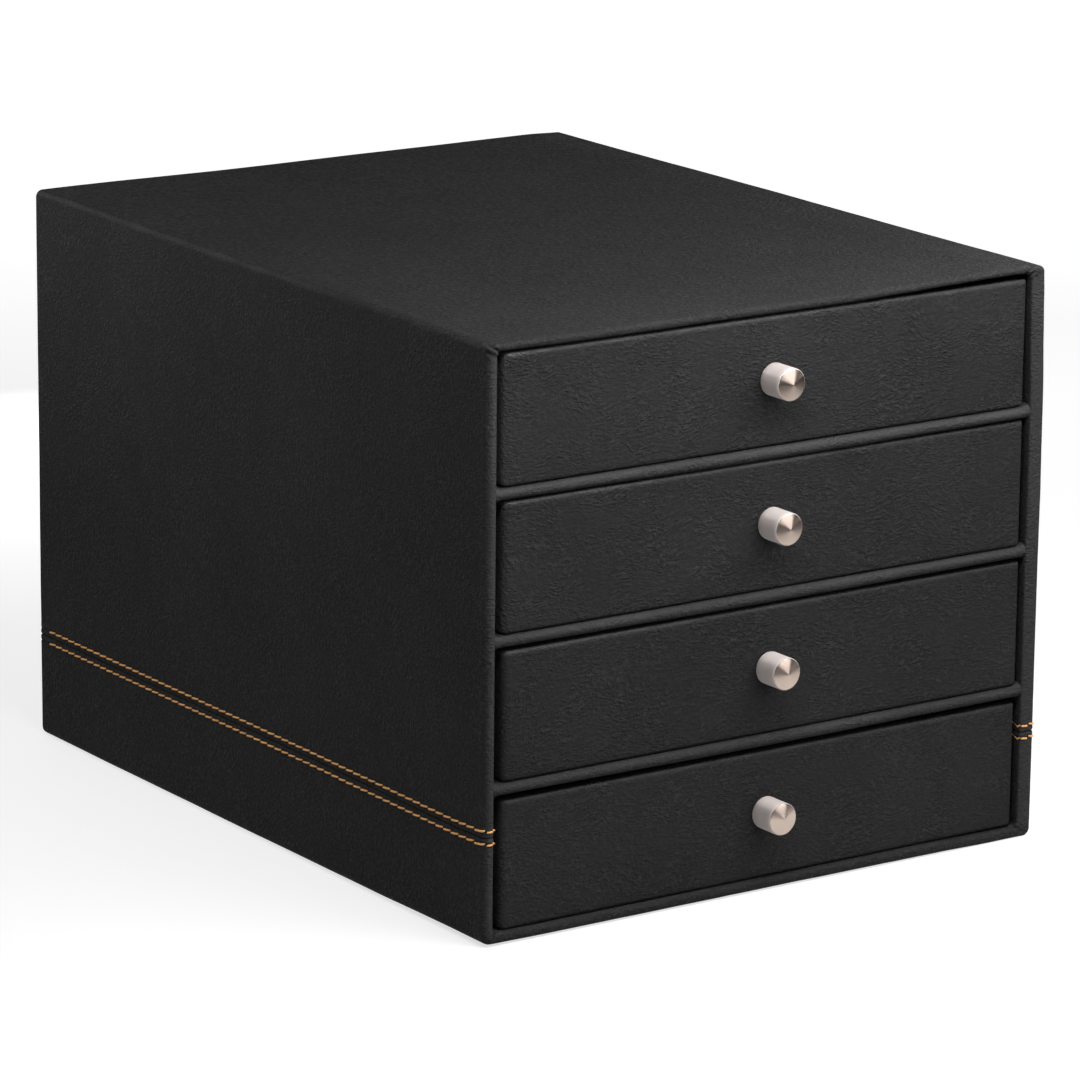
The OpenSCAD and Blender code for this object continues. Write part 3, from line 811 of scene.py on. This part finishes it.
def leather_material(name, shift):
    """Black leatherette: patches of fine wrinkles, with a painted highlight on their crests, painted
    highlights on edges and painted shade in creases.

    The shift moves the grain, so that no two bodies carry the same piece of skin.
    """
    material, tree, shader = new_material(name)
    links = tree.links
    moved = add_node(tree, "ShaderNodeMapping", (("Location", (shift, shift * 0.7, 0)),), object_place(tree))
    place = moved.outputs[0]
    # The wrinkles are longer than they are high, and sway from place to place
    flow = add_node(tree, "ShaderNodeTexNoise", (("Scale", 45.0), ("Detail", 1.0)), place)
    bend = add_node(tree, "ShaderNodeVectorMath", operation="MULTIPLY_ADD")
    bend.inputs[1].default_value = (0.004, 0.004, 0.011)
    links.new(flow.outputs["Color"], bend.inputs[0])
    links.new(place, bend.inputs[2])
    flat = add_node(tree, "ShaderNodeMapping", (("Scale", (0.45, 0.8, 1.0)),), bend.outputs[0])
    wrinkle = noise_value(tree, flat.outputs[0], 1350.0, 2.0, distortion=0.6)
    pebble = noise_value(tree, bend.outputs[0], 1100.0, 2.0)
    cloud = noise_value(tree, place, 95.0, 2.0, roughness=0.6)
    grain = maths(tree, "MULTIPLY_ADD", pebble, PEBBLE_SHARE, wrinkle)
    centred = maths(tree, "SUBTRACT", grain, GRAIN_MIDDLE)
    strength = ramp(tree, cloud, ((0.36, 0.35), (0.66, 1.0)))
    height = maths(tree, "MULTIPLY", centred, strength)
    set_bump(tree, shader, height, 1.0, 0.001)
    # Tone: drifting patches, a painted highlight on the grain's crests, then the mesh's painted highlights
    # on edges and painted shade in creases and seams
    drift = noise_value(tree, place, 22.0, 3.0)
    tone = ramp(tree, drift, ((0.3, (0.0245, 0.0245, 0.0248)), (0.7, (0.0290, 0.0290, 0.0292))))
    # The mesh's tone: painted highlights on rims, edges and noses, painted shade in creases and seams
    painted_light = add_node(tree, "ShaderNodeAttribute", attribute_name="painted_light").outputs["Fac"]
    # Painted highlight on the grain's crests, and a little painted shade in its hollows
    crest_highlight = maths(tree, "MULTIPLY_ADD", maths(tree, "MAXIMUM", height, -0.02), 2.6, 0.98)
    painted_tone = maths(tree, "MULTIPLY_ADD", painted_light, 0.85, crest_highlight)
    level = maths(tree, "MAXIMUM", painted_tone, 0.2)
    shaded = add_node(tree, "ShaderNodeVectorMath", operation="SCALE")
    links.new(tone, shaded.inputs[0])
    links.new(level, shaded.inputs["Scale"])
    links.new(shaded.outputs[0], shader.inputs["Base Color"])
    rough = ramp(tree, grain, ((0.6, 0.66), (0.85, 0.5)))
    links.new(rough, shader.inputs["Roughness"])
    shader.inputs["Specular IOR Level"].default_value = LEATHER_SPECULAR
    return material


def thread_material():
    """Tan polyester thread, three plies twisted together."""
    material, tree, shader = new_material("tan_thread")
    uv = add_node(tree, "ShaderNodeTexCoord").outputs["UV"]
    parts = add_node(tree, "ShaderNodeSeparateXYZ", vector=uv)
    turn = maths(tree, "ADD", maths(tree, "MULTIPLY", parts.outputs[0], 1.5),
                 maths(tree, "MULTIPLY", parts.outputs[1], 3.0))
    ply = maths(tree, "PINGPONG", turn, 0.5)
    fuzz = noise_value(tree, uv, 9.0, 3.0)
    set_bump(tree, shader, maths(tree, "MULTIPLY_ADD", fuzz, 0.3, ply), 0.6, 0.0002)
    # Darker and redder where the plies meet: painted shade in the grooves between them
    tone = ramp(tree, ply, ((0.05, (0.95, 0.38, 0.10)), (0.4, (1.0, 0.58, 0.22))))
    tree.links.new(tone, shader.inputs["Base Color"])
    shader.inputs["Roughness"].default_value = 0.55
    shader.inputs["Sheen Weight"].default_value = 0.08
    return material


def knob_material():
    """Satin turned metal: a brushed face with fine rings, and a rougher, matt barrel."""
    material, tree, shader = new_material("turned_metal")
    links = tree.links
    parts = add_node(tree, "ShaderNodeSeparateXYZ", vector=object_place(tree))
    # Distance from the knob's axis
    flat = add_node(tree, "ShaderNodeCombineXYZ")
    links.new(parts.outputs[0], flat.inputs[0])
    links.new(parts.outputs[1], flat.inputs[1])
    reach = add_node(tree, "ShaderNodeVectorMath", operation="LENGTH")
    links.new(flat.outputs[0], reach.inputs[0])
    rings = add_node(tree, "ShaderNodeTexNoise", (("Scale", 9000.0), ("Detail", 2.0)), noise_dimensions="1D")
    links.new(maths(tree, "ADD", reach.outputs["Value"], parts.outputs[2]), rings.inputs["W"])
    tangent = add_node(tree, "ShaderNodeTangent", direction_type="RADIAL", axis="Z")
    links.new(tangent.outputs[0], shader.inputs["Tangent"])
    set_bump(tree, shader, rings.outputs["Fac"], 0.12, 0.00004)
    # 0 on the face, 1 on the barrel
    barrel = maths(tree, "GREATER_THAN", reach.outputs["Value"], (KNOB_R - 0.25) * MM)
    face_tone = ramp(tree, rings.outputs["Fac"], ((0.3, (0.48, 0.385, 0.33)), (0.7, (0.62, 0.50, 0.43))))
    barrel_tone = ramp(tree, rings.outputs["Fac"], ((0.3, (0.58, 0.51, 0.485)), (0.7, (0.68, 0.605, 0.58))))
    # Sockets 6 and 7 of a mix node are its colours, and output 2 the mixed one
    tone = add_node(tree, "ShaderNodeMix", data_type="RGBA")
    links.new(barrel, tone.inputs[0])
    links.new(face_tone, tone.inputs[6])
    links.new(barrel_tone, tone.inputs[7])
    links.new(tone.outputs[2], shader.inputs["Base Color"])
    links.new(ramp(tree, barrel, ((0.0, 1.0), (1.0, 0.25))), shader.inputs["Metallic"])
    links.new(ramp(tree, barrel, ((0.0, 0.2), (1.0, 0.48))), shader.inputs["Roughness"])
    shader.inputs["Anisotropic"].default_value = 1.0
    shader.inputs["Anisotropic Rotation"].default_value = 0.25
    return material


def fibre_material(name, dark, light, roughness, scale):
    """Pasteboard or paper: short fibres, flecks and a faint nap."""
    material, tree, shader = new_material(name)
    place = object_place(tree)
    stretched = add_node(tree, "ShaderNodeMapping", (("Scale", (1.0, 0.3, 1.0)),), place)
    fibres = noise_value(tree, stretched.outputs[0], scale, 5.0, roughness=0.65)
    flecks = noise_value(tree, place, scale * 0.12, 3.0)
    mix = maths(tree, "MULTIPLY_ADD", flecks, 0.4, maths(tree, "MULTIPLY", fibres, 0.6))
    tree.links.new(ramp(tree, mix, ((0.35, dark), (0.65, light))), shader.inputs["Base Color"])
    set_bump(tree, shader, fibres, 0.35, 0.0002)
    shader.inputs["Roughness"].default_value = roughness
    shader.inputs["Specular IOR Level"].default_value = PAPER_SPECULAR
    return material


def zinc_material():
    """Zinc-plated steel, with the plating's faint crystals."""
    material, tree, shader = new_material("zinc_plate")
    links = tree.links
    crystals = add_node(tree, "ShaderNodeTexVoronoi", (("Scale", 1400.0),), object_place(tree))
    grey = add_node(tree, "ShaderNodeSeparateColor")
    links.new(crystals.outputs["Color"], grey.inputs[0])
    links.new(ramp(tree, grey.outputs[0], ((0.0, 0.55), (1.0, 0.68))), shader.inputs["Base Color"])
    links.new(ramp(tree, grey.outputs[1], ((0.0, 0.28), (1.0, 0.42))), shader.inputs["Roughness"])
    shader.inputs["Metallic"].default_value = 1.0
    return material


# ---- Floor, background and lamps ----

# The world's own light on the object, and its brightness in reflections: overhead, and behind
WORLD_LEVEL = 0.035
CEILING = 0.03
BACK_GLEAM = 0.3
# The floor's glow to the camera close to the object (1 far from it)
FLOOR_GLOW = 0.66
# The floor's glow in reflections, close to the object and far from it
MIRROR_NEAR, MIRROR_DARK = 0.5, 0.03
FLOOR_HALF = 6000
LAMPS = (
    # name, place, aim (metres), size (metres), power (watts)
    ("near_front", (0.02, -0.27, 0.33), (0.02, -0.12, 0.10), (0.5, 0.06), 1.38),
    ("near_left", (-0.23, 0.10, 0.225), (-0.10, 0.06, 0.12), (0.35, 0.05), 0.25),
    ("near_right", (0.34, -0.05, 0.34), (0.05, -0.02, 0.15), (0.35, 0.10), 0.75),
    ("front_right", (0.35, -0.80, 0.30), (0.05, -0.1, 0.09), (0.5, 0.4), 1.4),
    ("fill", (-0.45, -0.95, 0.30), (0.0, 0.0, 0.09), (0.6, 0.6), 0.16),
    ("back", (0.12, 0.55, 0.12), (0.0, 0.12, 0.10), (0.6, 0.08), 1.0),
)


def mirror_rays(tree, rays):
    """1 for a ray that was reflected or let through, else 0."""
    return maths(tree, "MAXIMUM", rays.outputs["Is Glossy Ray"], rays.outputs["Is Transmission Ray"])


def make_world():
    """A white background. In reflections it is darker upwards, with a gleam from behind."""
    world = bpy.data.worlds.new("studio")
    bpy.context.scene.world = world
    world.use_nodes = True
    tree = world.node_tree
    background = tree.nodes["Background"]
    background.inputs["Color"].default_value = (1, 1, 1, 1)
    way = add_node(tree, "ShaderNodeTexCoord").outputs["Generated"]
    parts = add_node(tree, "ShaderNodeSeparateXYZ", vector=way)
    behind = ramp(tree, parts.outputs[1], ((0.0, CEILING), (0.4, BACK_GLEAM)))
    upwards = ramp(tree, parts.outputs[2], ((-0.04, 1.0), (0.06, CEILING)))
    mirrored = maths(tree, "MAXIMUM", upwards, behind)
    rays = add_node(tree, "ShaderNodeLightPath")
    light = maths(tree, "MULTIPLY_ADD", mirror_rays(tree, rays),
                  maths(tree, "SUBTRACT", mirrored, WORLD_LEVEL), WORLD_LEVEL)
    strength = maths(tree, "MAXIMUM", rays.outputs["Is Camera Ray"], light)
    tree.links.new(strength, background.inputs["Strength"])


def make_floor():
    """A pale floor that reads white, and still takes the object's shadow."""
    corners = [(FLOOR_HALF * x, FLOOR_HALF * y, 0) for x, y in ((-1, -1), (1, -1), (1, 1), (-1, 1))]
    floor = add_mesh("floor", corners, [(0, 1, 2, 3)], smooth_faces=False)
    material, tree, shader = new_material("white_floor")
    shader.inputs["Base Color"].default_value = (0.5, 0.5, 0.5, 1)
    shader.inputs["Roughness"].default_value = 0.9
    shader.inputs["Specular IOR Level"].default_value = 0.0
    away = add_node(tree, "ShaderNodeVectorMath", operation="LENGTH")
    tree.links.new(object_place(tree), away.inputs[0])
    camera_glow = ramp(tree, away.outputs["Value"], ((0.25, FLOOR_GLOW), (0.9, 1.0)))
    mirror_glow = ramp(tree, away.outputs["Value"], ((0.22, MIRROR_NEAR), (0.42, MIRROR_DARK)))
    rays = add_node(tree, "ShaderNodeLightPath")
    glow = add_node(tree, "ShaderNodeEmission")
    total = add_node(tree, "ShaderNodeAddShader")
    strength = maths(tree, "MULTIPLY_ADD", mirror_rays(tree, rays), mirror_glow,
                     maths(tree, "MULTIPLY", rays.outputs["Is Camera Ray"], camera_glow))
    tree.links.new(strength, glow.inputs["Strength"])
    tree.links.new(shader.outputs[0], total.inputs[0])
    tree.links.new(glow.outputs[0], total.inputs[1])
    tree.links.new(total.outputs[0], tree.nodes["Material Output"].inputs["Surface"])
    floor.data.materials.append(material)


def make_lamp(name, place, aim, size, power):
    """A soft rectangular lamp; place and aim in metres."""
    data = bpy.data.lights.new(name, "AREA")
    data.shape = "RECTANGLE"
    data.size, data.size_y = size
    data.energy = power
    lamp = new_object(name, data)
    lamp.location = place
    lamp.rotation_euler = (Vector(aim) - Vector(place)).to_track_quat("-Z", "Y").to_euler()


# ---- Camera: where the photograph was taken from ----

# In metres, degrees and millimetres of lens, fitted to the photograph's straight edges
CAMERA_AIM = (2.54 * MM, -4.70 * MM, 79.15 * MM)
CAMERA_DISTANCE = 1.7866
CAMERA_AZIMUTH = 34.43
CAMERA_ELEVATION = 14.72
CAMERA_ROLL = 0.595
CAMERA_LENS = 192.89


def make_camera():
    """Looks from the front left, a little down, with a long lens."""
    azimuth, elevation = math.radians(CAMERA_AZIMUTH), math.radians(CAMERA_ELEVATION)
    forward = Vector((math.sin(azimuth) * math.cos(elevation),
                      math.cos(azimuth) * math.cos(elevation),
                      -math.sin(elevation)))
    level_right = forward.cross(Vector((0, 0, 1))).normalized()
    level_up = level_right.cross(forward)
    roll = math.radians(CAMERA_ROLL)
    right = level_right * math.cos(roll) + level_up * math.sin(roll)
    up = right.cross(forward)
    data = bpy.data.cameras.new("camera")
    data.lens = CAMERA_LENS
    data.sensor_width = 36.0
    data.clip_start = 0.05
    data.clip_end = 20.0
    camera = new_object("camera", data)
    turn = Matrix((right, up, -forward)).transposed().to_4x4()
    camera.matrix_world = Matrix.Translation(Vector(CAMERA_AIM) - forward * CAMERA_DISTANCE) @ turn
    bpy.context.scene.camera = camera


# ---- Putting it together ----

def dress(piece, material, body, node):
    """Gives a piece its material and body, and hides the CAD node that it replaces."""
    piece.data.materials.append(material)
    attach(piece, body)
    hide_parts(node)


def repaint(node, material):
    """Gives a carried-over CAD node a material, in every slot it has."""
    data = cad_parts[node].data
    data.materials.clear()
    data.materials.append(material)


def make_stitches(upper_rows, lower_rows, thread):
    """Both rows of stitches on each side of the case."""
    columns = range(len(SEAM_GRID))
    upper_end = [len(upper_rows[0]) - 1 - k for k in columns]
    lower_end = [len(lower_rows[0]) - 1 - k for k in columns]
    for side, name, high, low in ((-1, "left", columns, lower_end), (1, "right", upper_end, columns)):
        path = side_path(LEFT if side < 0 else RIGHT)
        points, faces, uvs = [], [], []
        stitch_row(upper_rows, path, high, side, 1, points, faces, uvs)
        stitch_row(lower_rows, path, low, side, -1, points, faces, uvs)
        stitches = add_mesh(name + "_stitches", points, faces, uvs=uvs)
        dress(stitches, thread, "case", name + "_stitching")


def make_case(leather, board, thread):
    """The case's covers, stitches, wall boards and shelf covers."""
    upper, upper_rows = case_cover("upper_wrap", upper_stations(), TOP_CORNER)
    lower, lower_rows = case_cover("lower_wrap", lower_stations(), LOW_CORNER)
    make_stitches(upper_rows, lower_rows, thread)
    for piece, node in ((upper, "upper_cover"), (lower, "lower_cover")):
        thicken(piece, CASE_SKIN)
        dress(piece, leather, "case", node)
    for name, section, rounded in WALL_BOARDS:
        piece = wall_board(name, section, rounded)
        dress(piece, board, "case", name + "_board")
    for number, name in enumerate(("upper", "middle", "lower")):
        piece = shelf_cover(number)
        thicken(piece, THIN_SKIN)
        dress(piece, leather, "case", name + "_shelf_cover")


def make_drawers(metal):
    """The cover and the knob of each drawer."""
    for number in range(len(FLOORS)):
        body = "drawer_%d" % (number + 1)
        leather = leather_material("leatherette_" + body, 0.37 * (number + 1))
        piece = drawer_cover(number)
        thicken(piece, THIN_SKIN)
        dress(piece, leather, body, body + "_cover")
        dress(knob(number), metal, body, body + "_knob")


def repaint_nodes(leather, board, paper, zinc):
    """Materials for the CAD nodes whose shapes stay as they are."""
    own_boards = [name + "_board" for name, _, _ in WALL_BOARDS]
    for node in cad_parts:
        if node == "back_sheet":
            repaint(node, leather)
        elif node.endswith("_board") and node not in own_boards:
            repaint(node, board)
        elif node.endswith("lining") or node == "base_sheet":
            repaint(node, paper)
        elif node.endswith(("_screw", "_washer")):
            repaint(node, zinc)


def build():
    """Every piece of the object."""
    leather = leather_material("leatherette_case", 0.0)
    board = fibre_material("grey_board", (0.20, 0.18, 0.155), (0.34, 0.31, 0.27), 0.9, 700.0)
    paper = fibre_material("black_paper", (0.014, 0.014, 0.015), (0.026, 0.026, 0.027), 0.8, 900.0)
    metal, zinc, thread = knob_material(), zinc_material(), thread_material()
    make_case(leather, board, thread)
    make_drawers(metal)
    repaint_nodes(leather, board, paper, zinc)


build()
make_floor()
make_world()
for lamp in LAMPS:
    make_lamp(*lamp)
make_camera()
bpy.context.scene.view_settings.view_transform = "Standard"
